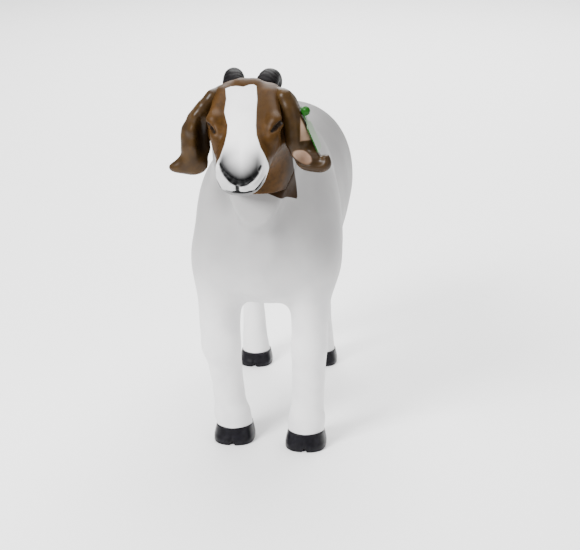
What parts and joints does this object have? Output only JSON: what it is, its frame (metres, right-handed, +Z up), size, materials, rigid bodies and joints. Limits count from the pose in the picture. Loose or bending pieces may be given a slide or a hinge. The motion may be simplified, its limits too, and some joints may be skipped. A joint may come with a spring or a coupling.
{
  "type": "goat figure",
  "caption": "Free-standing painted glass-fibre figure of a horned goat with lop ears and a two-piece livestock ear tag that turns in its ear.",
  "frame": {"origin": "on the ground, under the middle of the figure's bounding box", "axes": "+Z up, the goat faces -Y, its left side (the tagged ear) is +X"},
  "size_m": [0.2646, 0.7852, 0.6966],
  "materials": {
    "white_gelcoat": "satin painted glass-fibre",
    "brown_gelcoat": "satin painted glass-fibre, brown with a white blaze",
    "horn_paint": "satin dark grey paint",
    "hoof_paint": "satin black paint",
    "eye_glass": "gloss",
    "tag_plastic": "satin moulded polyurethane",
    "frame_steel": "primed mild steel"
  },
  "bodies": {
    "figure": {"body_shell_left": "white_gelcoat", "body_shell_right": "white_gelcoat", "ear_left": "brown_gelcoat", "ear_right": "brown_gelcoat", "eye_left": "eye_glass", "eye_right": "eye_glass", "foreleg_left": "white_gelcoat", "foreleg_right": "white_gelcoat", "front_cross_bar": "frame_steel", "head_shell": "brown_gelcoat", "hindleg_left": "white_gelcoat", "hindleg_right": "white_gelcoat", "hoof_fore_left": "hoof_paint", "hoof_fore_right": "hoof_paint", "hoof_hind_left": "hoof_paint", "hoof_hind_right": "hoof_paint", "horn_left": "horn_paint", "horn_right": "horn_paint", "rear_cross_bar": "frame_steel", "rod_foreleg_left": "frame_steel", "rod_foreleg_right": "frame_steel", "rod_hindleg_left": "frame_steel", "rod_hindleg_right": "frame_steel", "spine_bar": "frame_steel", "tail": "white_gelcoat"},
    "stud": {"tag_stud": "tag_plastic"},
    "flag": {"tag_flag": "tag_plastic"}
  },
  "joints": [
    {"name": "tag_stud_turn", "type": "hinge", "parent": "figure", "child": "stud", "pos_m": [0.0752, -0.2494, 0.635], "axis": [0.9135, 0, 0.4067], "continuous": true},
    {"name": "tag_flag_swing", "type": "hinge", "parent": "figure", "child": "flag", "pos_m": [0.0752, -0.2494, 0.635], "axis": [0.9135, 0, 0.4067], "continuous": true}
  ]
}
